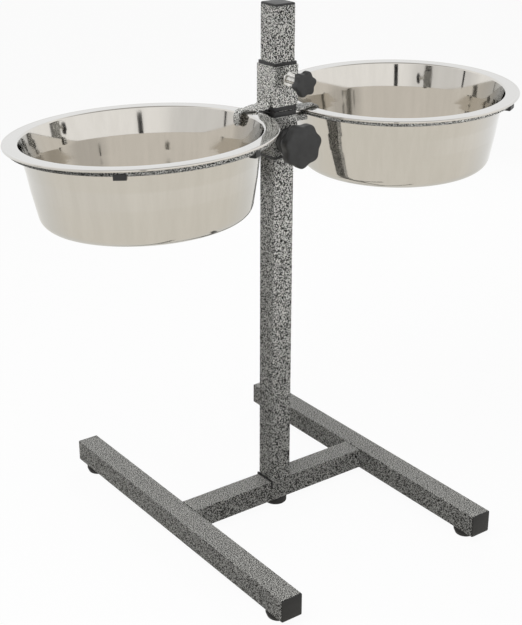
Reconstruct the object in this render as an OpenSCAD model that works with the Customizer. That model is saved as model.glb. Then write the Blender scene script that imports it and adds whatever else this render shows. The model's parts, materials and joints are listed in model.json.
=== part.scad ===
// Height-adjustable feeder stand with two bowls.
// Millimetres. +X runs along the crossbar, the knobs face -Y, +Z is up.
// The origin is on the floor under the middle of the post.

/* [Tube frame] */
// Outside width of the square tube of legs, crossbar and post
tube_w = 25; // [22:0.5:30]
// Wall of the square tube
tube_wall = 1.5; // [1.2:0.1:2]
// Outside corner radius of the square tube
tube_corner = 0.8; // [0.5:0.1:3]
// Length of each leg, over its end caps
leg_length = 408; // [350:2:500]
// Distance between the centre lines of the legs
leg_spacing = 262; // [220:2:340]
// Length of the post above the crossbar
post_length = 538; // [520:2:700]
// Leg of the weld fillets
weld_leg = 3; // [2:0.5:5]

/* [Feet] */
// Diameter of a foot at the tube
foot_d = 26; // [22:0.5:28]
// Height of a foot
foot_h = 9; // [7:0.5:14]
// Radius of the foot's lower edge
foot_edge = 2; // [1:0.25:3]
// Shank diameter of the base screws
screw_d = 4; // [3:0.5:5]
// Length of the base screws above their heads
screw_length = 14; // [12:1:20]
// Height of the base screws' heads
screw_head_h = 2.5; // [2:0.25:3]

/* [Plastic plugs] */
// Flange thickness of the leg caps
cap_flange = 1.5; // [1:0.25:3]
// Height of the crown of the post cap
post_crown = 3.5; // [2.5:0.25:6]
// Depth of the spigots of the caps
cap_depth = 14; // [10:1:20]
// Wall of the hollow spigots
cap_wall = 2; // [1.5:0.25:3]
// Flange thickness of the plug between the crossbar halves
seam_flange = 1.6; // [1:0.2:3]
// How far that flange stands proud of the tube
seam_proud = 1.5; // [0.5:0.25:3]
// How far that flange reaches down from the top of the tube
seam_reach = 8; // [5:0.5:12]
// Depth of each spigot of that plug
seam_depth = 28; // [26:1:40]

/* [Sleeves on the post] */
// Height of the bowl rims above the floor
rim_height = 465; // [400:1:475]
// Height of each sleeve
sleeve_h = 41; // [36:1:50]
// Wall of the sleeves
sleeve_wall = 1.7; // [1.2:0.1:2.5]
// Outside corner radius of the sleeves
sleeve_corner = 0.8; // [0.5:0.1:3]
// Gap between carrier sleeve and clamp sleeve
sleeve_gap = 10.9; // [10:0.1:20]
// Height of the bowl rims above the carrier sleeve
rim_offset = 4.5; // [2:0.25:6]
// Wall of the sliding liners
liner_wall = 0.7; // [0.6:0.1:1]
// Depth of a liner inside its sleeve
liner_depth = 8; // [6:0.5:10]
// Height of a liner's flange
liner_flange = 3.25; // [2:0.25:4]
// How far a liner's flange lies back from the sleeve's outside
liner_step = 1.1; // [0.8:0.1:1.4]

/* [Bowls] */
// Outside diameter of the rim
rim_d = 267.6; // [240:0.2:300]
// Width of the rim, from the wall line to its outside
rim_w = 15.3; // [14.5:0.1:18]
// Depth of a bowl
bowl_depth = 83; // [60:1:100]
// Diameter at which the wall line meets the bottom
bowl_base_d = 206; // [180:1:215]
// Bend radius between wall and bottom
bowl_corner = 12.5; // [8:0.5:20]
// Sheet thickness
bowl_sheet = 0.8; // [0.6:0.1:1]
// Bend radius between wall and rim
lip_bend = 2; // [1.5:0.25:3]
// Height of the rolled edge
roll_h = 2.5; // [2.5:0.1:3]
// Width of the rolled edge
roll_w = 2.6; // [2.2:0.1:3]
// Bend radius of the rolled edge
roll_bend = 0.8; // [0.6:0.05:0.85]
// Free space between a sleeve and the rim beside it
bowl_gap = 14.7; // [12:0.1:24]

/* [Rings and hooks] */
// Bar diameter of the rings
ring_bar = 6; // [5:0.5:8]
// How much higher the left ring sits than the right one
ring_step = 1.5; // [0:0.25:2]
// Degrees by which the left ring tips to the back
left_tip = 2.8; // [0:0.1:3]
// Degrees by which the left ring leans outwards
left_lean = 1.1; // [0:0.1:1.5]
// Degrees by which the right ring tips to the front
right_tip = 0.5; // [0:0.1:3]
// Degrees by which the right ring leans inwards
right_lean = 1.2; // [0:0.1:1.5]
// Width of the arms between carrier and rings
arm_w = 10; // [8:0.5:16]
// Thickness of the arms
arm_h = 6; // [5:0.25:8]
// Wall of the clips on the rings
clip_wall = 1; // [0.8:0.1:1.5]
// How far the clips reach below the ring bar
clip_drop = 3; // [2:0.25:4]
// Length of the clips along the ring
clip_length = 12.6; // [8:0.2:18]
// Thickness of the hook strip
hook_t = 2.5; // [2:0.25:4]
// Width of a hook where it is welded on
hook_root_w = 20; // [14:0.5:22]
// Width of a hook at its tip
hook_tip_w = 11; // [8:0.5:13]
// Height of a hook's weld leg on the sleeve
hook_root_h = 16; // [12:0.5:20]
// Distance from the bowl's mouth edge to the hook's tip
hook_clear = 6.5; // [5:0.5:10]
// Height of a hook's tip below its run
hook_drop = 15; // [12:0.5:16]
// Bend radius of the hooks, on the strip's centre line
hook_bend = 6; // [4:0.5:6]

/* [Knobs] */
// Thread diameter of both studs
stud_d = 8; // [6:0.5:10]
// Space between the large knob's stud and the liner below it
height_stud_margin = 3.75; // [1:0.25:6]
// Space between the small knob's stud and the liner above it
clamp_stud_margin = 1; // [1:0.25:6]
// Width across the flats of the nuts
nut_flats = 14; // [12:0.5:16]
// Height of the nuts
nut_h = 5; // [4:0.25:8]
// Diameter of the large star grip
big_grip_d = 47; // [40:0.5:52]
// Thickness of the large star grip
big_grip_h = 12; // [10:0.5:22]
// Lobes of the large star grip
big_lobes = 7; // [5:1:9]
// Depth of the hollows between its lobes, as a share of its radius
big_hollow = 0.11; // [0.05:0.01:0.2]
// Diameter of the hub behind the large grip
big_hub_d = 28; // [26:0.5:34]
// Length of that hub
big_hub_length = 18.5; // [13:0.5:22]
// Diameter of the small star grip
small_grip_d = 26.5; // [22:0.5:30]
// Thickness of the small star grip
small_grip_h = 9; // [7:0.5:12]
// Lobes of the small star grip
small_lobes = 6; // [5:1:8]
// Depth of the hollows between its lobes, as a share of its radius
small_hollow = 0.18; // [0.05:0.01:0.25]
// Length of the bright collar behind the small grip
collar_length = 6; // [4:0.5:8]
// Diameter of that collar
collar_d = 11; // [10:0.5:13]
// Free stud between nut and collar
stud_free = 13.5; // [6:0.5:16]

/* [Clearances] */
// Plug in tube, screw in hole, liner in sleeve
fit_clearance = 0.1; // [0.05:0.05:0.2]
// Liner on post
slide_clearance = 0.2; // [0.15:0.05:0.3]
// Stud in nut and in grip, on the radius
thread_clearance = 0.05; // [0.03:0.01:0.1]
// Resting gap between pieces that move apart
seat_clearance = 0.3; // [0.3:0.05:0.5]
// Free space between a ring and the rolled edge outside it
rim_clearance = 0.4; // [0.3:0.1:1]
// Gap that the weld fills between arm and ring
weld_gap = 0.05; // [0.02:0.01:0.2]

/* [Hidden] */
$fn = 64;

left = -1;
right = 1;
front = -1;
back = 1;
corner_steps = 6;
least_corner = 0.3;
bend_steps = 8;
lobe_steps = 10;

// Base
tube_in = tube_w - 2 * tube_wall;
leg_x = leg_spacing / 2;
leg_tube = leg_length - 2 * cap_flange;
tube_z = foot_h + tube_w / 2;
tube_top = foot_h + tube_w;
seam_right = -tube_w / 2;
seam_left = seam_right - seam_flange;
crossbar_end = leg_x - tube_w / 2;
plug_w = tube_in - 2 * fit_clearance;
plug_corner = max(tube_corner - tube_wall - fit_clearance, least_corner);
screw_head_d = 2 * screw_d;
cap_screw_space = 5.5;
foot_y = leg_length / 2 - cap_flange - cap_depth - screw_d / 2 - cap_screw_space;
center_foot_x = seam_right + seam_depth / 2;
plug_screw_x = seam_left - seam_depth / 2;
leg_feet = [for (x = [-leg_x, leg_x], y = [-foot_y, foot_y]) [x, y]];
foot_places = concat(leg_feet, [[center_foot_x, 0]]);

// Sleeves
sleeve_in = tube_w + 2 * (slide_clearance + liner_wall + fit_clearance);
sleeve_w = sleeve_in + 2 * sleeve_wall;
carrier_top = rim_height - rim_offset;
carrier_bottom = carrier_top - sleeve_h;
clamp_bottom = carrier_top + sleeve_gap;
clamp_top = clamp_bottom + sleeve_h;
stud_inset = liner_depth + stud_d / 2;
height_knob_z = carrier_bottom + stud_inset + height_stud_margin;
clamp_knob_z = clamp_top - stud_inset - clamp_stud_margin;

// Bowls and rings, measured from the top of the rim
left_tilt = [-left_tip, -left_lean, 0];
right_tilt = [right_tip, -right_lean, 0];
rim_r = rim_d / 2;
mouth_r = rim_r - rim_w;
bowl_x = sleeve_w / 2 + bowl_gap + rim_r;
ring_r = rim_r - roll_w - rim_clearance - ring_bar / 2;
ring_z = -bowl_sheet - seat_clearance - ring_bar / 2;
arm_cope = 1.5;
left_clip_angles = [-130, -67, 84];
right_clip_angles = [-62, 62, 145];

// Hooks
hook_root_x = sleeve_w / 2 + hook_t / 2;
hook_tip_x = bowl_x - mouth_r + hook_clear + hook_t / 2;

// Knobs, measured along the stud from the post's axis
stud_tip = tube_w / 2 + seat_clearance;
sleeve_face = sleeve_w / 2;
nut_face = sleeve_face + nut_h;
nut_corners = nut_flats / cos(30);
big_hub_back = sleeve_face + 3 * seat_clearance;
big_grip_back = big_hub_back + big_hub_length;
nut_space = 2;
stud_grip_depth = 0.7;
collar_back = nut_face + stud_free;
small_grip_back = collar_back + collar_length;

// Soft edge of a grip as a share of its diameter, and the angles that the grips rest at
grip_edge = 0.12;
big_turn = 10;
small_turn = 10;

// Unit vector along v
function unit(v) = v / norm(v);

// Vector v turned a quarter to the left
function left_of(v) = [-v[1], v[0]];

// Vector v turned by an angle
function turned(v, angle) = cos(angle) * v + sin(angle) * left_of(v);

// Place of a path corner without its bend radius
function spot(corner) = [corner[0], corner[1]];

// Direction of the path's leg that ends at corner i
function heading(path, i) = unit(spot(path[i]) - spot(path[i - 1]));

// Skin of a bent strip, at a distance to the left of its centre line.
// The path is a list of [x, y] ends and [x, y, bend radius] corners.
function skin(path, side) =
    let (last = len(path) - 1)
    [
        spot(path[0]) + side * left_of(heading(path, 1)),
        for (i = [1 : last - 1])
            let (
                into = heading(path, i),
                out = heading(path, i + 1),
                turn = atan2(cross(into, out), into * out),
                hand = sign(turn),
                middle = unit(left_of(into) + left_of(out)),
                centre = spot(path[i]) + hand * middle * path[i][2] / cos(turn / 2)
            )
            for (k = [0 : bend_steps])
                centre - (hand * path[i][2] - side) * left_of(turned(into, turn * k / bend_steps)),
        spot(path[last]) + side * left_of(heading(path, last))
    ];

// Outline of a strip of one thickness bent along a path
function strip(path, thickness) =
    let (outer = skin(path, -thickness / 2), inner = skin(path, thickness / 2))
    concat(outer, [for (i = [len(inner) - 1 : -1 : 0]) inner[i]]);

// Outline of a square with rounded corners
function rounded_square(width, radius) = [
    for (c = [0 : 3], k = [0 : corner_steps])
        let (angle = 90 * (c + k / corner_steps), diagonal = 90 * c + 45)
        (width / 2 - radius) * sqrt(2) * [cos(diagonal), sin(diagonal)]
            + radius * [cos(angle), sin(angle)]
];

// Outline of a star grip with soft lobes
function star(diameter, lobes, hollow) = [
    for (k = [0 : lobes * lobe_steps - 1])
        let (angle = 360 * k / (lobes * lobe_steps), dip = hollow * (1 - cos(lobes * angle)) / 2)
        diameter / 2 * (1 - dip) * [cos(angle), sin(angle)]
];

// Tilt of a ring and of the bowl on it, and height of the middle of its rim
function tilt(side) = side == left ? left_tilt : right_tilt;
function rim_z(side) = rim_height - side * ring_step / 2;

// Height at [x, y] of a tilted rim's top, and of a ring's centre line on its inner side
function rim_top(side, x, y) =
    let (t = tilt(side), out = x - side * bowl_x)
    rim_z(side) - out * tan(t[1]) + y * tan(t[0]) / cos(t[1]);
function ring_inner_z(side) =
    let (t = tilt(side))
    rim_z(side) + side * ring_r * sin(t[1]) + ring_z * cos(t[0]) * cos(t[1]);

// Middle height of the level run of a hook that clears the rim under it
function hook_run_z(side) =
    let (x_ends = [bowl_x - rim_r, bowl_x - mouth_r], y_ends = [-hook_root_w / 2, hook_root_w / 2])
    max([for (x = x_ends, y = y_ends) rim_top(side, side * x, y)]) + seat_clearance + hook_t / 2;

// Square bar of one length, along Z
module square_bar(length, width, corner) {
    linear_extrude(length)
        polygon(rounded_square(width, corner));
}

// Square tube of one length, along Z
module square_tube(length, width, wall, corner) {
    linear_extrude(length)
        difference() {
            polygon(rounded_square(width, corner));
            polygon(rounded_square(width - 2 * wall, max(corner - wall, least_corner)));
        }
}

// Children along Z are laid along +X, +Y or -Y
module along_x() {
    rotate([90, 0, 90])
        children();
}

module along_y(side) {
    rotate([-90 * side, 0, 0])
        children();
}

// Fillet of weld metal in the corner between +X and +Z
module weld(length) {
    along_y(back)
        translate([0, 0, -length / 2])
            linear_extrude(length)
                polygon([[0, 0], [weld_leg, 0], [0, -weld_leg]]);
}

// Base screw that stands on its head
module base_screw() {
    cylinder(d = screw_head_d, h = screw_head_h);
    translate([0, 0, screw_head_h])
        cylinder(d = screw_d, h = screw_length);
}

// Room for a base screw's shank
module screw_hole() {
    cylinder(d = screw_d + 2 * fit_clearance, h = screw_length + screw_head_h);
}

// Hollow spigot that fits inside the tube
module spigot(depth) {
    square_tube(depth, plug_w, cap_wall, plug_corner);
}

// Frame tubes
module leg(side) {
    color("dimgray")
        difference() {
            translate([side * leg_x, -leg_tube / 2, tube_z])
                along_y(back)
                    square_tube(leg_tube, tube_w, tube_wall, tube_corner);
            for (y = [-foot_y, foot_y])
                translate([side * leg_x, y, foot_h - screw_length / 2])
                    screw_hole();
        }
}

module crossbar_welds(side) {
    for (face = [front, back])
        translate([side * crossbar_end, face * tube_w / 2, tube_z])
            mirror([side == right ? 1 : 0, 0, 0])
                mirror([0, face == front ? 1 : 0, 0])
                    rotate([90, 0, 0])
                        weld(tube_w - 2 * tube_corner);
}

module crossbar_half(side, start, length, screw_x) {
    color("dimgray")
        union() {
            difference() {
                translate([start, 0, tube_z])
                    along_x()
                        square_tube(length, tube_w, tube_wall, tube_corner);
                translate([screw_x, 0, foot_h - screw_length / 2])
                    screw_hole();
                if (side == left)
                    seam_slot();
            }
            crossbar_welds(side);
        }
}

// Slot at the end of the left half for the flange of the plug
module seam_slot() {
    translate([seam_left - fit_clearance, -tube_w, tube_top - seam_reach - fit_clearance])
        cube([2 * seam_flange, 2 * tube_w, tube_w]);
}

module post() {
    color("dimgray")
        union() {
            translate([0, 0, tube_top])
                square_tube(post_length, tube_w, tube_wall, tube_corner);
            translate([tube_w / 2, 0, tube_top])
                weld(tube_w - 2 * tube_corner);
        }
}

// Plastic plugs of the frame
module seam_plate() {
    width = tube_w + 2 * seam_proud;
    height = seam_reach + seam_proud;
    translate([0, -width / 2, -seam_reach])
        cube([seam_flange, width, height]);
}

module crossbar_plug() {
    color([0.15, 0.15, 0.15])
        difference() {
            union() {
                translate([seam_left - seam_depth, 0, tube_z])
                    along_x()
                        square_bar(2 * seam_depth + seam_flange, plug_w, plug_corner);
                translate([seam_left, 0, tube_top])
                    seam_plate();
            }
            translate([plug_screw_x, 0, foot_h])
                screw_hole();
            translate([center_foot_x, 0, foot_h])
                screw_hole();
        }
}

module leg_cap(side, end) {
    color([0.15, 0.15, 0.15])
        translate([side * leg_x, end * leg_tube / 2, tube_z])
            along_y(end)
                union() {
                    square_bar(cap_flange, tube_w, tube_corner);
                    translate([0, 0, -cap_depth])
                        spigot(cap_depth);
                }
}

module post_cap() {
    color([0.15, 0.15, 0.15])
        translate([0, 0, tube_top + post_length])
            union() {
                hull() {
                    square_bar(post_crown / 2, tube_w, tube_corner);
                    square_bar(post_crown, tube_w - 2 * post_crown, tube_corner);
                }
                translate([0, 0, -cap_depth])
                    spigot(cap_depth);
            }
}

// Feet with a recess for the screw's head
module foot(place) {
    sole_r = foot_d / 2 - foot_edge;
    color([0.12, 0.12, 0.12])
        translate([place[0], place[1], 0])
            difference() {
                rotate_extrude()
                    polygon([
                        [0, 0],
                        for (k = [0 : bend_steps])
                            [sole_r, foot_edge] + foot_edge * [sin(90 * k / bend_steps),
                                                               -cos(90 * k / bend_steps)],
                        [foot_d / 2, foot_h],
                        [0, foot_h]
                    ]);
                translate([0, 0, -fit_clearance])
                    cylinder(d = screw_head_d + 2, h = foot_h / 2 + fit_clearance);
                screw_hole();
            }
}

module foot_screws() {
    color("silver")
        for (place = foot_places)
            translate([place[0], place[1], foot_h / 2 - screw_head_h])
                base_screw();
}

module plug_screw() {
    color("silver")
        translate([plug_screw_x, 0, foot_h - screw_head_h])
            base_screw();
}

// Sleeves, liners and nuts
module sleeve(bottom, stud_z) {
    color("dimgray")
        difference() {
            translate([0, 0, bottom])
                square_tube(sleeve_h, sleeve_w, sleeve_wall, sleeve_corner);
            translate([0, 0, stud_z])
                along_y(front)
                    cylinder(d = stud_d + 2 * thread_clearance, h = sleeve_w);
        }
}

// A liner hangs on its flange; upper ones stand on the sleeve, lower ones are turned over
module liner(seat, upper) {
    bore = tube_w + 2 * slide_clearance;
    outer_corner = max(sleeve_corner - sleeve_wall - fit_clearance, least_corner);
    bore_corner = max(outer_corner - liner_wall, least_corner);
    color([0.12, 0.12, 0.12])
        translate([0, 0, seat])
            mirror([0, 0, upper ? 0 : 1])
                difference() {
                    union() {
                        translate([0, 0, -liner_depth])
                            square_bar(liner_depth, sleeve_in - 2 * fit_clearance, outer_corner);
                        square_bar(liner_flange, sleeve_w - 2 * liner_step, sleeve_corner);
                    }
                    translate([0, 0, -2 * liner_depth])
                        square_bar(4 * liner_depth, bore, bore_corner);
                }
}

module nut(stud_z) {
    color("silver")
        translate([0, -sleeve_face, stud_z])
            along_y(front)
                difference() {
                    cylinder(d = nut_corners, h = nut_h, $fn = 6);
                    translate([0, 0, -nut_h])
                        cylinder(d = stud_d + 2 * thread_clearance, h = 3 * nut_h);
                }
}

// Bowl frame: origin on the bowl's axis at the top of the rim, tilted with its ring
module bowl_place(side) {
    translate([side * bowl_x, 0, rim_z(side)])
        rotate(tilt(side))
            children();
}

module ring_solid(gap) {
    translate([0, 0, ring_z])
        rotate_extrude()
            translate([ring_r, 0])
                circle(d = ring_bar + 2 * gap);
}

module ring(side) {
    color("dimgray")
        bowl_place(side)
            ring_solid(0);
}

// Level arm welded to the sleeve's side and coped round the ring's bar
module arm(side) {
    reach = bowl_x - ring_r - sleeve_w / 2;
    arm_top = ring_inner_z(side) - ring_bar / 2 + arm_cope;
    color("dimgray")
        difference() {
            mirror([side == left ? 1 : 0, 0, 0])
                translate([sleeve_w / 2, -arm_w / 2, arm_top - arm_h])
                    cube([reach, arm_w, arm_h]);
            bowl_place(side)
                ring_solid(weld_gap);
        }
}

// U-shaped clips that wrap the lower half of the ring's bar
module ring_clips(side, angles) {
    half = ring_bar / 2;
    span = clip_length / ring_r * 180 / PI;
    color([0.12, 0.12, 0.12])
        bowl_place(side)
            for (angle = angles)
                rotate([0, 0, angle - span / 2])
                    translate([0, 0, ring_z])
                        rotate_extrude(angle = span)
                            translate([ring_r, 0])
                                difference() {
                                    translate([-half - clip_wall, -half - clip_drop])
                                        square([ring_bar + 2 * clip_wall, half + clip_drop]);
                                    circle(d = ring_bar + 2 * weld_gap);
                                }
}

// Hook strip over the rim: bent in side view, tapered in plan, round at its tip
module hook(side) {
    run_z = hook_run_z(side);
    hook_tip_z = run_z - hook_drop;
    path = [
        [hook_root_x, clamp_bottom + hook_root_h],
        [hook_root_x, run_z, hook_bend],
        [hook_tip_x, run_z, hook_bend],
        [hook_tip_x, hook_tip_z]
    ];
    root_end = hook_root_x + hook_bend;
    tip_start = hook_tip_x - hook_bend;
    far = hook_tip_x + hook_t;
    tip_round_z = hook_tip_z + hook_tip_w / 2;
    color("dimgray")
        mirror([side == left ? 1 : 0, 0, 0])
            intersection() {
                rotate([90, 0, 0])
                    linear_extrude(hook_root_w, center = true)
                        polygon(strip(path, hook_t));
                translate([0, 0, hook_tip_z - hook_t])
                    linear_extrude(hook_drop + hook_root_h + sleeve_h)
                        polygon([
                            [0, hook_root_w / 2], [0, -hook_root_w / 2],
                            [root_end, -hook_root_w / 2], [tip_start, -hook_tip_w / 2],
                            [far, -hook_tip_w / 2], [far, hook_tip_w / 2],
                            [tip_start, hook_tip_w / 2], [root_end, hook_root_w / 2]
                        ]);
                along_x()
                    linear_extrude(far)
                        union() {
                            translate([0, tip_round_z])
                                circle(d = hook_tip_w);
                            translate([-hook_root_w, tip_round_z])
                                square([2 * hook_root_w, hook_root_h + sleeve_h]);
                        }
            }
}

// Star grip along Z with soft edges, drilled from its back for the stud
module star_grip(diameter, height, lobes, hollow) {
    edge = grip_edge * diameter;
    intersection() {
        linear_extrude(height)
            polygon(star(diameter, lobes, hollow));
        rotate_extrude()
            polygon([
                [0, 0],
                [diameter / 2 - edge / 2, 0],
                [diameter / 2, edge / 2],
                for (k = [0 : bend_steps])
                    [diameter / 2 - edge, height - edge]
                        + edge * [cos(90 * k / bend_steps), sin(90 * k / bend_steps)],
                [0, height]
            ]);
    }
}

module stud_bore(back_y, depth) {
    translate([0, 0, -back_y])
        cylinder(d = stud_d + 2 * thread_clearance, h = back_y + depth);
}

module height_knob_grip() {
    color([0.1, 0.1, 0.1])
        translate([0, -big_hub_back, height_knob_z])
            along_y(front)
                difference() {
                    union() {
                        cylinder(d = big_hub_d, h = big_hub_length);
                        translate([0, 0, big_hub_length])
                            rotate([0, 0, big_turn])
                                star_grip(big_grip_d, big_grip_h, big_lobes, big_hollow);
                    }
                    translate([0, 0, -nut_h])
                        cylinder(d = nut_corners + 2 * nut_space, h = 2 * nut_h + nut_space);
                    stud_bore(big_hub_back, big_hub_length + stud_grip_depth * big_grip_h);
                }
}

module clamp_knob_grip() {
    color([0.1, 0.1, 0.1])
        translate([0, -small_grip_back, clamp_knob_z])
            along_y(front)
                difference() {
                    rotate([0, 0, small_turn])
                        star_grip(small_grip_d, small_grip_h, small_lobes, small_hollow);
                    stud_bore(small_grip_back, stud_grip_depth * small_grip_h);
                }
}

module clamp_knob_collar() {
    color("silver")
        translate([0, -collar_back, clamp_knob_z])
            along_y(front)
                difference() {
                    cylinder(d = collar_d, h = collar_length);
                    stud_bore(collar_length, 2 * collar_length);
                }
}

module stud(stud_z, end) {
    color("silver")
        translate([0, -stud_tip, stud_z])
            along_y(front)
                cylinder(d = stud_d, h = end - stud_tip);
}

// Bowl pressed from one sheet, with a flat rim and a rolled edge
module bowl(side) {
    half = bowl_sheet / 2;
    path = [
        [0, half - bowl_depth],
        [bowl_base_d / 2, half - bowl_depth, bowl_corner],
        [mouth_r, -half, lip_bend],
        [rim_r - half, -half, roll_bend],
        [rim_r - half, half - roll_h, roll_bend],
        [rim_r - roll_w, half - roll_h]
    ];
    color("gainsboro")
        bowl_place(side)
            rotate_extrude()
                polygon(strip(path, bowl_sheet));
}

leg(left);  // left_leg
leg(right);  // right_leg
crossbar_half(left, -crossbar_end, crossbar_end + seam_right, plug_screw_x);  // left_crossbar
crossbar_half(right, seam_right, crossbar_end - seam_right, center_foot_x);  // right_crossbar
post();
crossbar_plug();
plug_screw();
leg_cap(left, front);  // left_front_cap
leg_cap(left, back);  // left_back_cap
leg_cap(right, front);  // right_front_cap
leg_cap(right, back);  // right_back_cap
post_cap();
foot([-leg_x, -foot_y]);  // left_front_foot
foot([-leg_x, foot_y]);  // left_back_foot
foot([leg_x, -foot_y]);  // right_front_foot
foot([leg_x, foot_y]);  // right_back_foot
foot([center_foot_x, 0]);  // center_foot
foot_screws();
sleeve(carrier_bottom, height_knob_z);  // carrier_sleeve
liner(carrier_top, true);  // carrier_top_liner
liner(carrier_bottom, false);  // carrier_bottom_liner
nut(height_knob_z);  // carrier_nut
arm(left);  // left_arm
arm(right);  // right_arm
ring(left);  // left_ring
ring(right);  // right_ring
ring_clips(left, left_clip_angles);  // left_ring_clips
ring_clips(right, right_clip_angles);  // right_ring_clips
sleeve(clamp_bottom, clamp_knob_z);  // clamp_sleeve
liner(clamp_top, true);  // clamp_top_liner
liner(clamp_bottom, false);  // clamp_bottom_liner
nut(clamp_knob_z);  // clamp_nut
hook(left);  // left_hook
hook(right);  // right_hook
height_knob_grip();
stud(height_knob_z, big_grip_back + stud_grip_depth * big_grip_h);  // height_knob_stud
clamp_knob_grip();
clamp_knob_collar();
stud(clamp_knob_z, small_grip_back + stud_grip_depth * small_grip_h);  // clamp_knob_stud
bowl(left);  // left_bowl
bowl(right);  // right_bowl
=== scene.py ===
import json
import math

import bmesh
import bpy
from mathutils import Euler, Matrix, Vector

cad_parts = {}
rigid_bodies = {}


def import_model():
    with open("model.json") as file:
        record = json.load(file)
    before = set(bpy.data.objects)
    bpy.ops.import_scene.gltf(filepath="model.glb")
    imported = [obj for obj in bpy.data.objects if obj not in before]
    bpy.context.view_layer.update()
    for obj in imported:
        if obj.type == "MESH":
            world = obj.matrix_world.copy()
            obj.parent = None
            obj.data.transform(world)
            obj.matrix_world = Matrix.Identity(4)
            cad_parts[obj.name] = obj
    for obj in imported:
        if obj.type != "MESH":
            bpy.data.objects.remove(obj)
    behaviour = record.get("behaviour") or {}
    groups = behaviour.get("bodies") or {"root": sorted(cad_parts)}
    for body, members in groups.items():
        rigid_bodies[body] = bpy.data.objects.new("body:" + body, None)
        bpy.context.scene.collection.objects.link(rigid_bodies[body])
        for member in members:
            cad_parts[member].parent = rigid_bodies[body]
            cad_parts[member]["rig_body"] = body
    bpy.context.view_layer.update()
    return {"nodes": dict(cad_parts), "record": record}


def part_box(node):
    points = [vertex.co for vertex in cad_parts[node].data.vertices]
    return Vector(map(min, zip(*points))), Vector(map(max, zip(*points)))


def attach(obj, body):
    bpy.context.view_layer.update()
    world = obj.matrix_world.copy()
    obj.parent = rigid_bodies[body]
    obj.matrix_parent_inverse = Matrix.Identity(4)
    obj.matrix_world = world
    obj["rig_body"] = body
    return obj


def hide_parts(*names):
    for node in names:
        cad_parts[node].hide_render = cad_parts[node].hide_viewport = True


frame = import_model()
nodes = frame["nodes"]

# Lengths are in metres, in the frame of the CAD model.
MM = 0.001
LEFT = -1
RIGHT = 1
SIDE_NAME = {LEFT: "left", RIGHT: "right"}

# The camera, solved from the tube edges and rim ellipses in the photograph
CAMERA_PLACE = (-0.8029, -1.06009, 0.80441)
CAMERA_TURN = math.radians(-36.449)
CAMERA_PITCH = math.radians(23.097)
CAMERA_ROLL = math.radians(0.171)
CAMERA_LENS = 75.929
SENSOR_HEIGHT = 36.0

# The bowls, measured from the top of the rim; each tilts by degrees about X and about Y
BOWL_X = 163.7 * MM
RIM_HEIGHT = 465.0 * MM
RING_STEP = 1.5 * MM
TILT = {LEFT: (-2.8, -1.1), RIGHT: (0.5, -1.2)}
RIM_R = 133.8 * MM
MOUTH_R = 118.5 * MM
BASE_R = 103.0 * MM
# Where the slope of the wall changes a little, as a radius and a height
UPPER_FLARE = (112.75 * MM, -27.0 * MM)
LOWER_FLARE = (110.1 * MM, -45.0 * MM)
FLARE_BEND = 40.0 * MM
BOWL_DEPTH = 83.0 * MM
SHEET = 0.8 * MM
LIP_BEND = 2.0 * MM
FLOOR_BEND = 12.5 * MM
EDGE_BEND = 0.85 * MM
EDGE_DROP = 2.5 * MM
EDGE_WIDTH = 2.6 * MM
BEAD_STEP = 0.2 * MM
BOWL_STEPS = 256

# The rings under the rims, and their clips: at each angle in degrees, a share of the clip's length
RING_R = 126.9 * MM
RING_DROP = {LEFT: 1.8 * MM, RIGHT: 0.0}
RING_BAR = 6.0 * MM
RING_Z = -4.1 * MM
CLIP_WALL = 1.0 * MM
CLIP_DROP = 3.0 * MM
CLIP_CORNER = 1.2 * MM
CLIP_LENGTH = 12.6 * MM
CLIP_SHARES = {LEFT: {-130: 0.92, -67: 0.6, 84: 1.0}, RIGHT: {-62: 1.0, 62: 1.0, 145: 1.0}}

# The hooks
HOOK_ROOT_X = 16.45 * MM
HOOK_TIP_X = 50.8 * MM
HOOK_DROP = 15.0 * MM
HOOK_BEND = 6.0 * MM
HOOK_THICK = 2.5 * MM
HOOK_ROOT_WIDTH = 20.0 * MM
HOOK_WIDTH = 10.0 * MM
HOOK_TAPER = 16.0 * MM
HOOK_CORNER = 0.6 * MM
HOOK_TIP_WIDTH = 2.0 * MM
HOOK_STEPS = 90

# How far the two liner flanges that face each other are drawn out, up or down
LINER_GROWTH = {"carrier_top_liner": 1.7 * MM, "clamp_bottom_liner": -1.7 * MM}
LINER_EDGE = 0.35 * MM
MIDDLE_FOOT_EDGE = 0.3 * MM

# The star grips, the hub of the large one, the studs and the nuts
BIG_GRIP_R = 23.5 * MM
BIG_LOBES = 7
BIG_HOLLOW = 0.11
BIG_EDGE = 3.0 * MM
BIG_HUB_R = 14.0 * MM
BIG_HUB_LENGTH = 18.5 * MM
HUB_STEP = 1.6 * MM
HUB_STEP_START = 6.0 * MM
HUB_STEP_END = 7.5 * MM
HUB_BEND = 0.8 * MM
HUB_GAP = 0.4 * MM
SMALL_GRIP_R = 13.25 * MM
SMALL_LOBES = 6
SMALL_HOLLOW = 0.18
SMALL_EDGE = 2.2 * MM
GRIP_TURN = math.radians(10)
LOBE_STEPS = 24
STUD_R = 4.0 * MM
THREAD_PITCH = 1.25 * MM
THREAD_DEPTH = 0.6 * MM
NUT_FACE = 0.95
NUT_CHAMFER = math.radians(30)

# The caps: a spigot in the tube, a groove at the tube's end and a soft-edged flange
SPIGOT_DEPTH = 10.0 * MM
SPIGOT_INSET = 4.0 * MM
CAP_FLANGE = 1.5 * MM
CAP_GROOVE = 0.45 * MM
CAP_GROOVE_INSET = 1.2 * MM
CAP_INSET = 0.2 * MM
CAP_CORNER = 0.8 * MM
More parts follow.
